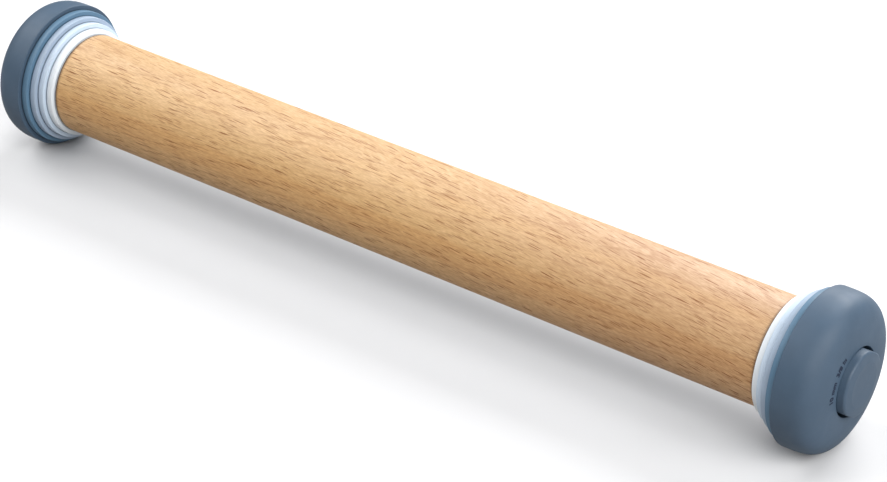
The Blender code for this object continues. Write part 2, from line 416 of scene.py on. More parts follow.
def turned(name, outline, angles, matrix, material, reach=None):
    """Turn an outline of (radius, height) about Z into a closed piece, and place it.

    reach(radius, angle) may draw the surface in, as flats do.
    """
    shape = bmesh.new()
    rings = []
    for radius, height in outline:
        if radius < MERGE_DISTANCE:
            rings.append([shape.verts.new((0, 0, height))])
            continue
        ring = []
        for angle in angles:
            span = radius if reach is None else reach(radius, angle)
            ring.append(shape.verts.new((span * math.cos(angle), span * math.sin(angle), height)))
        rings.append(ring)
    pairs = list(zip(rings, rings[1:]))
    if len(rings[0]) > 1 and len(rings[-1]) > 1:
        pairs.append((rings[-1], rings[0]))
    for lower, upper in pairs:
        for index in range(len(angles)):
            after = (index + 1) % len(angles)
            corners = []
            for ring, step in ((lower, index), (lower, after), (upper, after), (upper, index)):
                vert = ring[step % len(ring)]
                if vert not in corners:
                    corners.append(vert)
            if len(corners) > 2:
                shape.faces.new(corners)
    bmesh.ops.recalc_face_normals(shape, faces=shape.faces)
    mesh = bpy.data.meshes.new(name)
    shape.to_mesh(mesh)
    shape.free()
    mesh.shade_smooth()
    mesh.transform(matrix)
    mesh.materials.append(material)
    return add_object(name, mesh)


def finish_piece(obj, body, node):
    """Hide the CAD node that a piece stands for, and give the piece its body."""
    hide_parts(node)
    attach(obj, body)


def add_node(tree, kind, inputs=None, **options):
    """Add a node, set its options, and set or link its inputs."""
    node = tree.nodes.new(kind)
    for key, value in options.items():
        setattr(node, key, value)
    for key, value in (inputs or {}).items():
        if isinstance(value, bpy.types.NodeSocket):
            tree.links.new(value, node.inputs[key])
        else:
            node.inputs[key].default_value = value
    return node


def result_of(tree, kind, inputs=None, **options):
    """Add a node and return its first output."""
    return add_node(tree, kind, inputs, **options).outputs[0]


def maths(tree, operation, *values):
    """Add a Math node and return its result."""
    return result_of(tree, "ShaderNodeMath", dict(enumerate(values)), operation=operation)


def ease(tree, value, low, high, start=0.0, stop=1.0):
    """Add a smooth Map Range node and return its result."""
    inputs = {"Value": value, "From Min": low, "From Max": high, "To Min": start, "To Max": stop}
    return result_of(tree, "ShaderNodeMapRange", inputs, interpolation_type="SMOOTHSTEP")


def noise(tree, position, scale, detail, roughness=0.5):
    """Add a Noise Texture node and return its value."""
    inputs = {"Vector": position, "Scale": scale, "Detail": detail, "Roughness": roughness}
    return result_of(tree, "ShaderNodeTexNoise", inputs)


def combine(tree, **axes):
    """Add a node that makes a vector of X, Y and Z, and return the vector."""
    return result_of(tree, "ShaderNodeCombineXYZ", axes)


def split(tree, vector):
    """Add a node that splits a vector, and return its X, Y and Z."""
    outputs = add_node(tree, "ShaderNodeSeparateXYZ", {0: vector}).outputs
    return [outputs[axis] for axis in "XYZ"]


def mix(tree, factor, first, second, blend="MIX"):
    """Add a colour Mix node and return its result."""
    inputs = {0: factor, 6: first, 7: second}
    node = add_node(tree, "ShaderNodeMix", inputs, data_type="RGBA", blend_type=blend)
    return node.outputs[2]


def dimmed(tree, tint, red, green, blue):
    """Multiply each channel of a colour and return the result."""
    inputs = {"Red": red, "Green": green, "Blue": blue}
    level = result_of(tree, "ShaderNodeCombineColor", inputs)
    return mix(tree, 1.0, tint, level, "MULTIPLY")


def arrange(tree):
    """Lay a tree's nodes out in columns, from its inputs to its outputs."""
    column = {node: 0 for node in tree.nodes}
    for _ in tree.nodes:
        for edge in tree.links:
            behind = column[edge.from_node] + 1
            column[edge.to_node] = max(column[edge.to_node], behind)
    rows = {}
    for node, index in column.items():
        row = rows.get(index, 0)
        node.location = (index * COLUMN_WIDTH, -row * ROW_HEIGHT)
        rows[index] = row + 1


def socket_type(default):
    """Return the type of the socket that takes a default value, or None for a material."""
    if isinstance(default, tuple):
        return "NodeSocketColor" if len(default) == 4 else "NodeSocketVector"
    types = {float: "NodeSocketFloat", int: "NodeSocketInt", str: "NodeSocketString"}
    return types.get(type(default), "NodeSocketMaterial")


def new_group(name, kind, inputs, outputs):
    """Make a node group from the defaults of its inputs and the types of its outputs.

    Return the group, the sockets that bring its inputs, and the node of its outputs.
    """
    tree = bpy.data.node_groups.new(name, kind)
    for label, default in inputs.items():
        socket = tree.interface.new_socket(
            name=label, in_out="INPUT", socket_type=socket_type(default)
        )
        if default is not None:
            socket.default_value = default
    for label, output_type in outputs.items():
        tree.interface.new_socket(name=label, in_out="OUTPUT", socket_type=output_type)
    return tree, tree.nodes.new("NodeGroupInput").outputs, tree.nodes.new("NodeGroupOutput")


def close_group(tree, result, values):
    """Link a node group's outputs, lay out its nodes and return it."""
    for label, value in values.items():
        tree.links.new(value, result.inputs[label])
    arrange(tree)
    return tree


def geometry_tree(name, inputs):
    """Start a Geometry Nodes tree with named inputs."""
    inputs = inputs | {"Axis Height": 0.0, "Side": 1.0, "Material": None}
    outputs = {"Geometry": "NodeSocketGeometry"}
    tree, given, result = new_group(name, "GeometryNodeTree", inputs, outputs)
    tree.is_modifier = True
    return tree, given, result


def close_tree(tree, given, result, geometry):
    """End a Geometry Nodes tree: put the shape at its end of the pin and finish it."""
    height = combine(tree, Z=given["Axis Height"])
    tilt = combine(tree, Y=maths(tree, "MULTIPLY", given["Side"], math.pi / 2))
    inputs = {"Geometry": geometry, "Translation": height, "Rotation": tilt}
    moved = result_of(tree, "GeometryNodeTransform", inputs)
    real = result_of(tree, "GeometryNodeRealizeInstances", {"Geometry": moved})
    inputs = {"Geometry": real, "Material": given["Material"]}
    dressed = result_of(tree, "GeometryNodeSetMaterial", inputs)
    return close_group(tree, result, {"Geometry": dressed})


def grown(name, tree, sign, material, values):
    """Run a Geometry Nodes tree with its inputs set, and return the plain mesh object."""
    values = values | {"Axis Height": AXIS_HEIGHT, "Side": float(sign), "Material": material}
    obj = add_object(name, bpy.data.meshes.new(name))
    modifier = obj.modifiers.new("Shape", "NODES")
    modifier.node_group = tree
    for item in tree.interface.items_tree:
        if item.item_type == "SOCKET" and item.in_out == "INPUT":
            modifier[item.identifier] = values[item.name]
    depsgraph = bpy.context.evaluated_depsgraph_get()
    mesh = bpy.data.meshes.new_from_object(obj.evaluated_get(depsgraph))
    mesh.name = name
    obj.modifiers.clear()
    obj.data = mesh
    return obj


def disc_tree():
    """Geometry Nodes: one flat disc with a bore and rounded edges."""
    tree, given, result = geometry_tree(
        "thickness_disc",
        {
            "Radius": 0.03,
            "Bore Radius": 0.006,
            "Thickness": 0.003,
            "Edge": 0.0003,
            "Distance": 0.18,
            "Steps": PIN_STEPS,
        },
    )
    both = maths(tree, "ADD", given["Radius"], given["Bore Radius"])
    middle = maths(tree, "MULTIPLY", both, 0.5)
    width = maths(tree, "SUBTRACT", given["Radius"], given["Bore Radius"])
    inputs = {"Resolution": given["Steps"], "Radius": middle}
    path = result_of(tree, "GeometryNodeCurvePrimitiveCircle", inputs)
    inputs = {"Width": width, "Height": given["Thickness"]}
    section = result_of(tree, "GeometryNodeCurvePrimitiveQuadrilateral", inputs)
    inputs = {"Curve": section, "Count": ARC_STEPS, "Radius": given["Edge"]}
    softened = result_of(tree, "GeometryNodeFilletCurve", inputs, mode="POLY")
    inputs = {"Curve": path, "Profile Curve": softened}
    swept = result_of(tree, "GeometryNodeCurveToMesh", inputs)
    facing = split(tree, result_of(tree, "GeometryNodeInputNormal"))
    curved = maths(tree, "LESS_THAN", maths(tree, "ABSOLUTE", facing[2]), FLAT_NORMAL)
    inputs = {"Geometry": swept, "Shade Smooth": curved}
    shaded = result_of(tree, "GeometryNodeSetShadeSmooth", inputs)
    half = maths(tree, "MULTIPLY", given["Thickness"], 0.5)
    seat = combine(tree, Z=maths(tree, "ADD", given["Distance"], half))
    inputs = {"Geometry": shaded, "Translation": seat}
    placed = result_of(tree, "GeometryNodeTransform", inputs)
    return close_tree(tree, given, result, placed)


def thread_tree():
    """Geometry Nodes: the right-hand ridge that winds round the stem."""
    tree, given, result = geometry_tree(
        "stem_thread",
        {
            "Core Radius": 0.005,
            "Ridge Height": 0.001,
            "Foot Width": 0.002,
            "Crest Width": 0.001,
            "Pitch": 0.004,
            "Turns": 4,
            "Bottom": 0.16,
            "Turned By": 0.0,
        },
    )
    half = maths(tree, "MULTIPLY", given["Ridge Height"], 0.5)
    radius = maths(tree, "ADD", given["Core Radius"], half)
    inputs = {
        "Resolution": THREAD_STEPS,
        "Rotations": given["Turns"],
        "Start Radius": radius,
        "End Radius": radius,
        "Height": maths(tree, "MULTIPLY", given["Pitch"], given["Turns"]),
    }
    path = result_of(tree, "GeometryNodeCurveSpiral", inputs)
    upright = result_of(tree, "GeometryNodeSetCurveNormal", {"Curve": path}, mode="Z_UP")
    inputs = {
        "Bottom Width": given["Foot Width"],
        "Top Width": given["Crest Width"],
        "Offset": 0.0,
        "Height": given["Ridge Height"],
    }
    section = result_of(
        tree, "GeometryNodeCurvePrimitiveQuadrilateral", inputs, mode="TRAPEZOID"
    )
    inputs = {"Geometry": section, "Rotation": (0, 0, -math.pi / 2)}
    outward = result_of(tree, "GeometryNodeTransform", inputs)
    inputs = {"Curve": upright, "Profile Curve": outward, "Fill Caps": True}
    swept = result_of(tree, "GeometryNodeCurveToMesh", inputs)
    inputs = {
        "Geometry": swept,
        "Translation": combine(tree, Z=given["Bottom"]),
        "Rotation": combine(tree, Z=given["Turned By"]),
    }
    placed = result_of(tree, "GeometryNodeTransform", inputs)
    return close_tree(tree, given, result, placed)


def mark_tree():
    """Geometry Nodes: words that follow an arc on the cap disc's dome."""
    tree, given, result = geometry_tree(
        "dome_marks",
        {
            "Words": "10 mm",
            "Letter Height": 0.002,
            "Letter Spacing": 1.0,
            "Boldness": 0.0001,
            "Arc Radius": 0.016,
            "Start": 0.0,
            "Proud": 0.00005,
            "Thickness": 0.0001,
            "Dome Radius": 0.0325,
            "Dome Foot": 0.194,
            "Dome Rise": 0.0163,
            "Round Power": 4.29,
            "Rise Power": 3.72,
        },
    )
    inputs = {
        "String": given["Words"],
        "Size": given["Letter Height"],
        "Character Spacing": given["Letter Spacing"],
    }
    words = result_of(tree, "GeometryNodeStringToCurves", inputs)
    outlines = result_of(tree, "GeometryNodeRealizeInstances", {"Geometry": words})
    faces = result_of(tree, "GeometryNodeFillCurve", {"Curve": outlines}, mode="TRIANGLES")
    inputs = {"Vertices X": 2, "Vertices Y": 2}
    inputs |= {"Size X": given["Boldness"], "Size Y": given["Boldness"]}
    corners = result_of(tree, "GeometryNodeMeshGrid", inputs)
    inputs = {"Geometry": corners, "Rotation": LETTER_LEAN}
    leaning = result_of(tree, "GeometryNodeTransform", inputs)
    inputs = {"Points": leaning, "Instance": faces}
    copies = result_of(tree, "GeometryNodeInstanceOnPoints", inputs)
    bold = result_of(tree, "GeometryNodeRealizeInstances", {"Geometry": copies})
    offset = combine(tree, Z=given["Thickness"])
    inputs = {"Mesh": bold, "Offset": offset, "Individual": False}
    raised = result_of(tree, "GeometryNodeExtrudeMesh", inputs)
    backs = result_of(tree, "GeometryNodeFlipFaces", {"Mesh": bold})
    joined = add_node(tree, "GeometryNodeJoinGeometry", {0: raised})
    tree.links.new(backs, joined.inputs[0])
    inputs = {"Geometry": joined.outputs[0], "Distance": MERGE_DISTANCE}
    closed = result_of(tree, "GeometryNodeMergeByDistance", inputs)
    flat_x, flat_y, flat_z = split(tree, result_of(tree, "GeometryNodeInputPosition"))
    radius = maths(tree, "ADD", given["Arc Radius"], flat_y)
    along = maths(tree, "DIVIDE", flat_x, given["Arc Radius"])
    angle = maths(tree, "SUBTRACT", given["Start"], along)
    ratio = maths(tree, "DIVIDE", radius, given["Dome Radius"])
    fall = maths(tree, "POWER", ratio, given["Round Power"])
    left = maths(tree, "SUBTRACT", 1.0, fall)
    inverse = maths(tree, "DIVIDE", 1.0, given["Rise Power"])
    rise = maths(tree, "POWER", left, inverse)
    dome = maths(tree, "MULTIPLY_ADD", rise, given["Dome Rise"], given["Dome Foot"])
    sunk = maths(tree, "SUBTRACT", given["Proud"], given["Thickness"])
    skin = maths(tree, "ADD", dome, sunk)
    point = combine(
        tree,
        X=maths(tree, "MULTIPLY", radius, maths(tree, "COSINE", angle)),
        Y=maths(tree, "MULTIPLY", radius, maths(tree, "SINE", angle)),
        Z=maths(tree, "ADD", skin, flat_z),
    )
    inputs = {"Geometry": closed, "Position": point}
    bent = result_of(tree, "GeometryNodeSetPosition", inputs)
    return close_tree(tree, given, result, bent)


def satin_wear():
    """Shader group: uneven gloss from hands and washing."""
    tree, given, result = new_group(
        "satin_wear",
        "ShaderNodeTree",
        {"Position": (0, 0, 0), "Roughness": 0.5, "Spread": 0.05, "Patch Size": 12.0},
        {"Roughness": "NodeSocketFloat"},
    )
    density = maths(tree, "DIVIDE", 1.0, given["Patch Size"])
    mask = ease(tree, noise(tree, given["Position"], density, 4.0, 0.6), *WEAR_LEVELS)
    centred = maths(tree, "SUBTRACT", mask, 0.5)
    uneven = maths(tree, "MULTIPLY_ADD", centred, given["Spread"], given["Roughness"])
    return close_group(tree, result, {"Roughness": uneven})


def moulded_skin():
    """Shader group: the fine, slightly cloudy skin of moulded plastic."""
    tree, given, result = new_group(
        "moulded_skin",
        "ShaderNodeTree",
        {
            "Position": (0, 0, 0),
            "Color": (0.5, 0.5, 0.5, 1),
            "Cloud": 0.06,
            "Cloud Density": 0.09,
            "Grain Size": 0.35,
        },
        {"Color": "NodeSocketColor", "Height": "NodeSocketFloat"},
    )
    fineness = maths(tree, "DIVIDE", 1.0, given["Grain Size"])
    grain = noise(tree, given["Position"], fineness, 2.0)
    flow = noise(tree, given["Position"], given["Cloud Density"], 3.0, 0.55)
    cloud = ease(tree, flow, *CLOUD_LEVELS, -0.5, 0.5)
    both = maths(tree, "MULTIPLY_ADD", maths(tree, "SUBTRACT", grain, 0.5), 0.5, cloud)
    level = maths(tree, "MULTIPLY_ADD", both, given["Cloud"], 1.0)
    shown = dimmed(tree, given["Color"], level, level, level)
    return close_group(tree, result, {"Color": shown, "Height": grain})


def crease_dust():
    """Shader group: painted shade in the crease between two round pieces on the pin's axis."""
    tree, given, result = new_group(
        "crease_dust",
        "ShaderNodeTree",
        {
            "Position": (0, 0, 0),
            "Color": (0.5, 0.5, 0.5, 1),
            "Dust Color": (0.02, 0.03, 0.04, 1),
            "Crease Radius": 20.0,
            "Crease End": 180.0,
            "Crease Width": 0.45,
            "Strength": 0.5,
        },
        {"Color": "NodeSocketColor"},
    )
    along, across, upward = split(tree, given["Position"])
    side = maths(tree, "MULTIPLY", across, across)
    square = maths(tree, "MULTIPLY_ADD", upward, upward, side)
    outward = maths(tree, "SUBTRACT", maths(tree, "SQRT", square), given["Crease Radius"])
    beyond = maths(tree, "SUBTRACT", maths(tree, "ABSOLUTE", along), given["Crease End"])
    lifted = maths(tree, "MULTIPLY", outward, outward)
    away = maths(tree, "SQRT", maths(tree, "MULTIPLY_ADD", beyond, beyond, lifted))
    mask = ease(tree, away, 0.0, given["Crease Width"], given["Strength"], 0.0)
    dusted = mix(tree, mask, given["Color"], given["Dust Color"])
    return close_group(tree, result, {"Color": dusted})


def beech_grain():
    """Shader group: growth rings, fibres and the short dark rays of turned beech, with a painted
    highlight on the top and painted shade underneath and towards the right end.
    """
    tree, given, result = new_group(
        "beech_grain",
        "ShaderNodeTree",
        {
            "Position": (0, 0, 0),
            "Pale Wood": (0.8, 0.5, 0.3, 1),
            "Deep Wood": (0.6, 0.35, 0.2, 1),
            "Fleck Color": (0.3, 0.15, 0.06, 1),
            "Warm Tint": (0.95, 0.87, 0.76, 1),
            "Warm Height": 2.5,
            "Warm Width": 5.0,
            # Painted highlight: the wood pales and turns bluer near the top.
            "Sun Tint": (0.94, 1.0, 1.22, 1),
            "Sun Height": 19.0,
            "Shade Tint": (1.0, 0.95, 0.89, 1),
            # Painted shade: the roller darkens towards its right end.
            "End Tint": (0.89, 0.87, 0.97, 1),
            "Heart Depth": 100.0,
            "Ring Width": 2.4,
            "Facing": 2.4,
            "Run-out Y": 0.0,
            "Run-out Z": 0.0,
            "Bow": 0.0,
        },
        {
            "Color": "NodeSocketColor",
            "Height": "NodeSocketFloat",
            "Fleck": "NodeSocketFloat",
        },
    )

    def stretched(vector, pattern):
        """Divide a position by the size of a pattern's cell."""
        inputs = {0: vector, 1: [1 / length for length in CELLS[pattern]]}
        return result_of(tree, "ShaderNodeVectorMath", inputs, operation="MULTIPLY")

    def grainy(pattern, detail=3.0):
        """Return a noise whose cells are drawn out along the fibres."""
        return noise(tree, stretched(wood, pattern), 1.0, detail, 0.6)

    def patches(pattern, detail=3.0):
        """Return a mask of the places where a pattern shows."""
        return ease(tree, grainy(pattern, detail), *LEVELS[pattern])

    def flecks(pattern, luckless):
        """Return a mask of short rays in staggered rows, each with its own strength."""
        vector = stretched(staggered, pattern)
        inputs = {"Vector": vector, "Scale": 1.0, "Randomness": RAY_SCATTER}
        cells = add_node(tree, "ShaderNodeTexVoronoi", inputs).outputs
        inner = ease(tree, cells["Distance"], RAY_REACH * RAY_CORE, RAY_REACH, 1.0, 0.0)
        luck = result_of(tree, "ShaderNodeSeparateColor", {0: cells["Color"]})
        return maths(tree, "MULTIPLY", inner, ease(tree, luck, luckless, 1.0))

    along, across, upward = split(tree, given["Position"])
    drift = noise(tree, stretched(given["Position"], "drift"), 1.0, 1.0)
    sway = maths(tree, "MULTIPLY", drift, SWAY)
    run_y = maths(tree, "MULTIPLY", along, given["Run-out Y"])
    run_z = maths(tree, "MULTIPLY", along, given["Run-out Z"])
    fibre_y = maths(tree, "SUBTRACT", across, run_y)
    fibre_z = maths(tree, "SUBTRACT", upward, run_z)
    cosine = maths(tree, "COSINE", given["Facing"])
    sine = maths(tree, "SINE", given["Facing"])
    outward_y = maths(tree, "MULTIPLY", fibre_y, cosine)
    outward = maths(tree, "MULTIPLY_ADD", fibre_z, sine, outward_y)
    sideways_z = maths(tree, "MULTIPLY", fibre_z, cosine)
    sideways_y = maths(tree, "MULTIPLY", fibre_y, sine)
    sideways = maths(tree, "SUBTRACT", sideways_z, sideways_y)
    bend = maths(tree, "MULTIPLY", maths(tree, "MULTIPLY", along, along), given["Bow"])
    bent = maths(tree, "ADD", maths(tree, "SUBTRACT", sideways, bend), sway)
    wood = combine(tree, X=along, Y=bent, Z=outward)
    shifted = maths(tree, "MULTIPLY_ADD", bent, STAGGER, along)
    staggered = combine(tree, X=shifted, Y=bent, Z=outward)

    sloping = maths(tree, "MULTIPLY_ADD", along, SLOPE, upward)
    depth = maths(tree, "ADD", maths(tree, "ADD", sloping, sway), given["Heart Depth"])
    uneven = maths(tree, "MULTIPLY_ADD", grainy("ring", 1.0), RING_SWAY, depth)
    ring = maths(tree, "FRACT", maths(tree, "DIVIDE", uneven, given["Ring Width"]))
    late = ease(tree, ring, *LATE_WOOD)
    ended = ease(tree, ring, LATE_WOOD[1], 1.0, 1.0, 0.0)
    band = maths(tree, "MULTIPLY", maths(tree, "MULTIPLY", late, ended), patches("band"))

    tone = maths(tree, "MULTIPLY", patches("cloud"), CLOUD_TONE)
    tone = maths(tree, "MULTIPLY_ADD", patches("streak"), STREAK_TONE, tone)
    tone = maths(tree, "MULTIPLY_ADD", patches("smear", 2.0), SMEAR_TONE, tone)
    shown = mix(tree, tone, given["Pale Wood"], given["Deep Wood"])
    above = maths(tree, "SUBTRACT", upward, given["Warm Height"])
    wavy = maths(tree, "ADD", above, maths(tree, "MULTIPLY_ADD", sway, -0.5, 1.0))
    near = maths(tree, "DIVIDE", maths(tree, "ABSOLUTE", wavy), given["Warm Width"])
    # Painted highlight pales the top, painted shade tints the underside and darkens the roller
    # towards its right end.
    tints = {
        "Warm Tint": ease(tree, near, *WARM_BAND, 1.0, 0.0),
        "Sun Tint": ease(tree, upward, given["Sun Height"], HIGHLIGHT_TOP),
        "Shade Tint": ease(tree, upward, *SHADE_BAND, 1.0, 0.0),
        "End Tint": ease(tree, along, *RIGHT_END_SHADE_BAND),
    }
    for label, mask in tints.items():
        shown = mix(tree, mask, shown, mix(tree, 1.0, shown, given[label], "MULTIPLY"))
    fibre = grainy("fibre")
    light = maths(tree, "MULTIPLY_ADD", fibre, FIBRE_SHARE, FIBRE_BASE)
    light = maths(tree, "MULTIPLY_ADD", grainy("coarse"), COARSE_SHARE, light)
    green = maths(tree, "POWER", light, GREEN_POWER)
    blue = maths(tree, "POWER", light, BLUE_POWER)
    shown = dimmed(tree, shown, light, green, blue)

    thin_rays = maths(tree, "MULTIPLY", flecks("thin_ray", THIN_LUCK), THIN_SHARE)
    rays = maths(tree, "MAXIMUM", flecks("long_ray", LONG_LUCK), thin_rays)
    fleck = maths(tree, "MAXIMUM", rays, maths(tree, "MULTIPLY", band, BAND_SHARE))
    shown = mix(tree, fleck, shown, given["Fleck Color"])
    height = maths(tree, "SUBTRACT", maths(tree, "MULTIPLY", fibre, FIBRE_RELIEF), fleck)
    return close_group(tree, result, {"Color": shown, "Height": height, "Fleck": fleck})


def millimetres(tree):
    """Return Object coordinates in millimetres, centred on the pin's axis."""
    source = add_node(tree, "ShaderNodeTexCoord")
    inputs = {
        "Vector": source.outputs["Object"],
        "Location": (0, 0, AXIS_HEIGHT),
        "Scale": (1 / MM, 1 / MM, 1 / MM),
    }
    return result_of(tree, "ShaderNodeMapping", inputs, vector_type="TEXTURE")


def use_group(tree, make, inputs):
    """Place a shader group in a material and return its outputs. It is made only once."""
    group = bpy.data.node_groups.get(make.__name__) or make()
    return add_node(tree, "ShaderNodeGroup", inputs, node_tree=group).outputs


def new_material(name):
    """Return a new material with its tree and its Principled shader."""
    material = bpy.data.materials.new(name)
    material.use_nodes = True
    tree = material.node_tree
    return material, tree, tree.nodes["Principled BSDF"]


def dress(tree, shader, tint, roughness, height, relief):
    """Link a material's colour, roughness and relief, and lay out its nodes."""
    normal = result_of(tree, "ShaderNodeBump", relief | {"Height": height})
    tree.links.new(tint, shader.inputs["Base Color"])
    tree.links.new(roughness, shader.inputs["Roughness"])
    tree.links.new(normal, shader.inputs["Normal"])
    arrange(tree)


def oiled_beech(settings):
    """Make the roller's beech."""
    material, tree, shader = new_material("oiled_beech")
    position = millimetres(tree)
    inputs = {
        "Position": position,
        "Pale Wood": settings.pale,
        "Deep Wood": settings.deep,
        "Fleck Color": settings.fleck,
        "Facing": settings.facing,
        "Run-out Y": math.tan(settings.run_out) * math.cos(settings.run_side),
        "Run-out Z": math.tan(settings.run_out) * math.sin(settings.run_side),
        "Bow": settings.bow,
    }
    grain = use_group(tree, beech_grain, inputs)
    inputs = {"Position": position, "Roughness": WOOD_ROUGHNESS}
    wear = use_group(tree, satin_wear, inputs | WOOD_WEAR)
    dull = maths(tree, "MULTIPLY_ADD", grain["Fleck"], FLECK_ROUGHNESS, wear["Roughness"])
    # Painted shade darkens the wood along the rim of each end.
    inputs = {
        "Position": position,
        "Color": grain["Color"],
        "Dust Color": srgb(*WOOD_CREASE_SHADE),
        "Crease Radius": settings.radius * MM,
        "Crease End": ROLLER_END * MM,
        "Crease Width": WOOD_CREASE_SHADE_WIDTH,
        "Strength": 1.0,
    }
    crease_shaded = use_group(tree, crease_dust, inputs)
    thrown = add_node(tree, "ShaderNodeLightPath").outputs["Is Diffuse Ray"]
    shown = mix(tree, thrown, crease_shaded["Color"], settings.bounce)
    shader.inputs["Specular IOR Level"].default_value = WOOD_SPECULAR
    dress(tree, shader, shown, dull, grain["Height"], WOOD_RELIEF)
    return material


def moulded_plastic(name, tint, roughness=0.5, cloud=0.06, crease=(0, 0)):
    """Make one of the moulded plastics.

    crease is the radius and distance at which painted shade darkens the surface along the next
    piece's rim.
    """
    found = bpy.data.materials.get(name)
    if found:
        return found
    material, tree, shader = new_material(name)
    position = millimetres(tree)
    inputs = {"Position": position, "Color": tint, "Cloud": cloud}
    skin = use_group(tree, moulded_skin, inputs)
    radius, distance = crease
    inputs = {
        "Position": position,
        "Color": skin["Color"],
        "Crease Radius": radius * MM,
        "Crease End": distance * MM,
    }
    crease_shaded = use_group(tree, crease_dust, inputs)
    inputs = {"Position": position, "Roughness": roughness}
    wear = use_group(tree, satin_wear, inputs | PLASTIC_WEAR)
    dress(tree, shader, crease_shaded["Color"], wear["Roughness"], skin["Height"], PLASTIC_RELIEF)
    return material


def add_floor(settings):
    """Lay the plain floor that the pin stands on."""
    material, tree, shader = new_material("studio_floor")
    mottle = noise(tree, millimetres(tree), FLOOR_MOTTLE, 2.0)
    level = ease(tree, mottle, *MOTTLE_LEVELS, FLOOR_DARKEST, 1.0)
    paint = dimmed(tree, settings.floor, level, level, level)
    seen = add_node(tree, "ShaderNodeLightPath").outputs["Is Camera Ray"]
    tree.links.new(mix(tree, seen, settings.bounce, paint), shader.inputs["Base Color"])
    shader.inputs["Roughness"].default_value = FLOOR_ROUGHNESS
    arrange(tree)
    mesh = bpy.data.meshes.new("studio_floor")
    low, high = -FLOOR_REACH, FLOOR_REACH
    corners = [(low, low, 0), (high, low, 0), (high, high, 0), (low, high, 0)]
    mesh.from_pydata(corners, [], [(0, 1, 2, 3)])
    mesh.materials.append(material)
    add_object("studio_floor", mesh)


def add_world(settings):
    """Surround the pin with a white that lights it only a little."""
    world = bpy.data.worlds.new("studio")
    world.use_nodes = True
    tree = world.node_tree
    backdrop = tree.nodes["Background"]
    seen = add_node(tree, "ShaderNodeLightPath").outputs["Is Camera Ray"]
    shine = ease(tree, seen, 0.0, 1.0, settings.ambient, 1.0)
    tree.links.new(shine, backdrop.inputs["Strength"])
    backdrop.inputs["Color"].default_value = (1, 1, 1, 1)
    arrange(tree)
    bpy.context.scene.world = world


def face(obj, direction):
    """Turn a light or a camera to a direction."""
    obj.rotation_euler = direction.to_track_quat("-Z", "Y").to_euler()


def add_lights(settings):
    """Hang the soft lights round the pin."""
    for name, round_pin, upward, power in LIGHTS:
        lamp = bpy.data.lights.new(name, "AREA")
        lamp.size = settings.light_width
        lamp.energy = power
        light = add_object(name, lamp)
        tilt = Euler((0, -math.radians(upward), math.radians(round_pin)))
        light.location = tilt.to_matrix() @ Vector((settings.light_distance, 0, 0))
        face(light, -light.location)


def add_camera(settings):
    """Set up the camera."""
    data = bpy.data.cameras.new("camera")
    data.lens = settings.lens
    data.sensor_width = SENSOR_WIDTH
    data.clip_start = NEAREST_VIEW
    camera = add_object("camera", data)
    camera.location = settings.camera
    face(camera, Vector(settings.aim))
    bpy.context.scene.camera = camera


class PIN_OT_stage(bpy.types.Operator):
    """Add the floor, the lights and the camera"""

    bl_idname = "pin.stage"
    bl_label = "Stage"

    def execute(self, context):
        """Make the studio."""
        settings = context.scene.rolling_pin.stage
        context.scene.view_settings.view_transform = "Standard"
        add_floor(settings)
        add_world(settings)
        add_lights(settings)
        add_camera(settings)
        return {"FINISHED"}


class PIN_OT_roller(bpy.types.Operator):
    """Turn the beech roller"""

    bl_idname = "pin.roller"
    bl_label = "Roller"

    def execute(self, context):
        """Make the roller with a socket in each end."""
        settings = context.scene.rolling_pin.roller
        floor = ROLLER_END - settings.socket_depth
        half = [
            (0, floor, 0),
            (settings.socket_radius, floor, SOFT_EDGE),
            (settings.socket_radius, ROLLER_END, FINE_EDGE),
            (settings.radius, ROLLER_END, settings.edge),
        ]
        other = [(radius, -height, rounding) for radius, height, rounding in reversed(half)]
        outline = rounded(half + other)
        angles = even_angles(PIN_STEPS)
        wood = turned("roller_wood", outline, angles, end_matrix(1), oiled_beech(settings))
        finish_piece(wood, "roller", "roller")
        return {"FINISHED"}


class PIN_OT_inserts(bpy.types.Operator):
    """Finish the threaded inserts in the roller's ends"""

    bl_idname = "pin.inserts"
    bl_label = "Threaded inserts"

    def execute(self, context):
        """Give the two CAD inserts their nylon."""
        nylon = moulded_plastic("natural_nylon", srgb(*NYLON), roughness=0.45)
        for side in SIDES:
            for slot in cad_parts["insert_" + side].material_slots:
                slot.material = nylon
        return {"FINISHED"}


class PIN_OT_discs(bpy.types.Operator):
    """Add the four plain thickness discs of each end"""

    bl_idname = "pin.discs"
    bl_label = "Thickness discs"

    def execute(self, context):
        """Make each disc a step larger than the one inside it."""
        settings = context.scene.rolling_pin.discs
        tree = disc_tree()
        for side, sign in SIDES.items():
            inner = frame_radius("roller")
            for name, shade in DISCS.items():
                start, stop = frame_span(name + "_right")
                node = name + "_" + side
                tint = getattr(settings, shade)
                # Painted shade darkens each disc along the rim of the piece inside it.
                crease = (inner, start)
                plastic = moulded_plastic("moulded_" + shade, tint, crease=crease)
                inner = frame_radius(node)
                values = {
                    "Radius": inner,
                    "Bore Radius": settings.bore_radius,
                    "Thickness": stop - start,
                    "Edge": settings.edge,
                    "Distance": start,
                    "Steps": PIN_STEPS,
                }
                disc = grown("ring_" + node, tree, sign, plastic, values)
                finish_piece(disc, node, node)
        return {"FINISHED"}


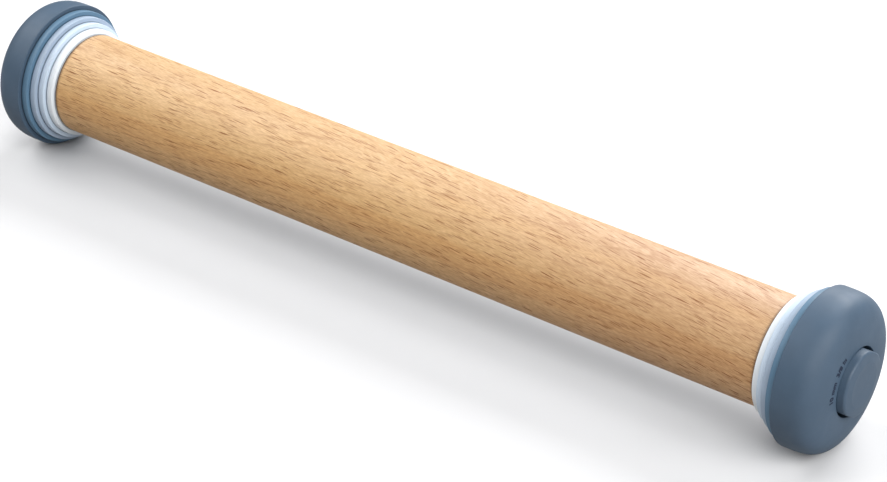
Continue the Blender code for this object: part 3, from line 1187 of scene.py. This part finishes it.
class PIN_OT_caps(bpy.types.Operator):
    """Add the domed cap disc of each end"""

    bl_idname = "pin.cap_discs"
    bl_label = "Cap discs"

    def execute(self, context):
        """Turn the dome, the rim and the recess for the knob."""
        settings = context.scene.rolling_pin.cap
        stem = context.scene.rolling_pin.discs.bore_radius
        foot = CAP_BASE + settings.rim
        mouth = settings.recess_radius + settings.recess_edge
        span = math.acos((mouth / settings.radius) ** (settings.round_power / 2))
        outline = []
        for index in range(DOME_STEPS + 1):
            angle = span * index / DOME_STEPS
            radius = settings.radius * math.cos(angle) ** (2 / settings.round_power)
            rise = settings.rise * math.sin(angle) ** (2 / settings.rise_power)
            outline.append(Vector((radius, foot + rise)))
        centre = Vector((mouth, outline[-1].y - settings.recess_edge))
        outline += arc(centre, settings.recess_edge, math.pi / 2, math.pi, ARC_STEPS)[1:]
        floor = foot + settings.rise - settings.recess_depth
        inside = [
            (settings.recess_radius, centre.y - GUARD, 0),
            (settings.recess_radius, floor, SOFT_EDGE),
            (stem, floor, FINE_EDGE),
            (stem, CAP_BASE, FINE_EDGE),
            (settings.radius, CAP_BASE, settings.edge),
            (settings.radius, foot, 0),
        ]
        outline += rounded(inside)[:-1]
        # Painted shade darkens the cap along the rim of the 8 mm disc.
        crease = (frame_radius("disc_8mm_right"), CAP_BASE)
        finish = {"roughness": 0.58, "cloud": 0.08, "crease": crease}
        slate = moulded_plastic("moulded_slate", settings.slate, **finish)
        angles = even_angles(PIN_STEPS)
        for side, sign in SIDES.items():
            node = "cap_disc_10mm_" + side
            cap = turned("dome_" + side, outline, angles, end_matrix(sign), slate)
            finish_piece(cap, node, node)
        return {"FINISHED"}


class PIN_OT_marks(bpy.types.Operator):
    """Put the thickness on the cap discs"""

    bl_idname = "pin.dome_marks"
    bl_label = "Thickness marks"

    def execute(self, context):
        """Bend the words round the knob, on the dome."""
        settings = context.scene.rolling_pin.marks
        cap = context.scene.rolling_pin.cap
        ink = moulded_plastic("mark_ink", settings.ink, roughness=0.75)
        tree = mark_tree()
        values = {
            "Words": settings.words,
            "Letter Height": settings.height,
            "Letter Spacing": settings.spacing,
            "Boldness": settings.boldness,
            "Arc Radius": settings.radius,
            "Start": settings.start,
            "Proud": settings.proud,
            "Thickness": settings.thickness,
            "Dome Radius": cap.radius,
            "Dome Foot": CAP_BASE + cap.rim,
            "Dome Rise": cap.rise,
            "Round Power": cap.round_power,
            "Rise Power": cap.rise_power,
        }
        for side, sign in SIDES.items():
            marks = grown("dome_marks_" + side, tree, sign, ink, values)
            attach(marks, "cap_disc_10mm_" + side)
        return {"FINISHED"}


class PIN_OT_knobs(bpy.types.Operator):
    """Add the knob of each end, with its threaded stem"""

    bl_idname = "pin.knobs"
    bl_label = "Knobs"

    def execute(self, context):
        """Turn the grip and the stem, cut the flats and wind the thread."""
        pin = context.scene.rolling_pin
        settings = pin.knob
        crown = KNOB_TOP - settings.rise
        base = crown - pin.cap.recess_depth + settings.floor_gap
        shank = ROLLER_END - settings.shank
        neck = settings.stem_radius - settings.core_radius
        profile = [
            (0, KNOB_TOP, 0),
            (settings.face_radius, KNOB_TOP, FINE_EDGE),
            (settings.shoulder_radius, KNOB_TOP - settings.shoulder, settings.shoulder_edge),
            (settings.radius, base + settings.wall, settings.wall_edge),
            (settings.radius, base, SOFT_EDGE),
            (settings.stem_radius, base, FINE_EDGE),
            (settings.stem_radius, shank + neck, CRISP_EDGE),
            (settings.core_radius, shank, CRISP_EDGE),
            (settings.core_radius, STEM_TIP + settings.tip, CRISP_EDGE),
            (settings.core_radius - settings.tip, STEM_TIP, CRISP_EDGE),
            (0, STEM_TIP, 0),
        ]
        outline = rounded(profile)
        power = settings.corner_power
        half = settings.width / 2

        def reach(radius, angle):
            """Draw the grip in to its flats, with slightly rounded corners."""
            flat = half / max(abs(math.cos(angle)), SMALLEST_COSINE)
            return (radius**-power + flat**-power) ** (-1 / power)

        corner = math.acos(half / settings.radius)
        angles = set(even_angles(PIN_STEPS))
        for index in range(-CORNER_STEPS, CORNER_STEPS + 1):
            near = corner + CORNER_STEP * index
            angles |= {near, math.pi - near, math.pi + near, math.tau - near}
        angles = sorted(angles)
        slate = moulded_plastic("moulded_knob", settings.slate, cloud=0.05)
        tree = thread_tree()
        top = shank - settings.lead - settings.foot
        values = {
            "Core Radius": settings.core_radius - settings.sink,
            "Ridge Height": settings.ridge + settings.sink,
            "Foot Width": settings.foot,
            "Crest Width": settings.crest,
            "Pitch": settings.pitch,
            "Turns": settings.turns,
            "Bottom": top - settings.turns * settings.pitch,
            "Turned By": settings.turned + settings.thread_start,
        }
        for side, sign in SIDES.items():
            node = "knob_" + side
            matrix = end_matrix(sign) @ Matrix.Rotation(settings.turned, 4, "Z")
            grip = turned("grip_" + side, outline, angles, matrix, slate, reach)
            finish_piece(grip, node, node)
            thread = grown("thread_" + side, tree, sign, slate, values)
            finish_piece(thread, node, node)
        return {"FINISHED"}


class PIN_PT_pieces(bpy.types.Panel):
    """The rolling pin's pieces and their settings"""

    bl_label = "Rolling Pin"
    bl_idname = "PIN_PT_pieces"
    bl_space_type = "VIEW_3D"
    bl_region_type = "UI"
    bl_category = "Rolling Pin"

    def draw(self, context):
        """List each piece's button over its settings."""
        pin = context.scene.rolling_pin
        for operator, settings in (
            ("pin.stage", pin.stage),
            ("pin.roller", pin.roller),
            ("pin.inserts", None),
            ("pin.discs", pin.discs),
            ("pin.cap_discs", pin.cap),
            ("pin.dome_marks", pin.marks),
            ("pin.knobs", pin.knob),
        ):
            box = self.layout.box()
            box.operator(operator)
            if settings is None:
                continue
            for name in settings.__annotations__:
                box.prop(settings, name)


CLASSES = (
    RollerSettings,
    DiscSettings,
    CapSettings,
    MarkSettings,
    KnobSettings,
    StageSettings,
    PinSettings,
    PIN_OT_stage,
    PIN_OT_roller,
    PIN_OT_inserts,
    PIN_OT_discs,
    PIN_OT_caps,
    PIN_OT_marks,
    PIN_OT_knobs,
    PIN_PT_pieces,
)


def register():
    """Register the classes and the pin's settings."""
    for cls in CLASSES:
        bpy.utils.register_class(cls)
    bpy.types.Scene.rolling_pin = bpy.props.PointerProperty(type=PinSettings)


def unregister():
    """Remove the settings and the classes."""
    del bpy.types.Scene.rolling_pin
    for cls in reversed(CLASSES):
        bpy.utils.unregister_class(cls)


def main():
    """Make the whole picture."""
    register()
    bpy.ops.pin.stage()
    bpy.ops.pin.roller()
    bpy.ops.pin.inserts()
    bpy.ops.pin.discs()
    bpy.ops.pin.cap_discs()
    bpy.ops.pin.dome_marks()
    bpy.ops.pin.knobs()


if __name__ == "__main__":
    main()
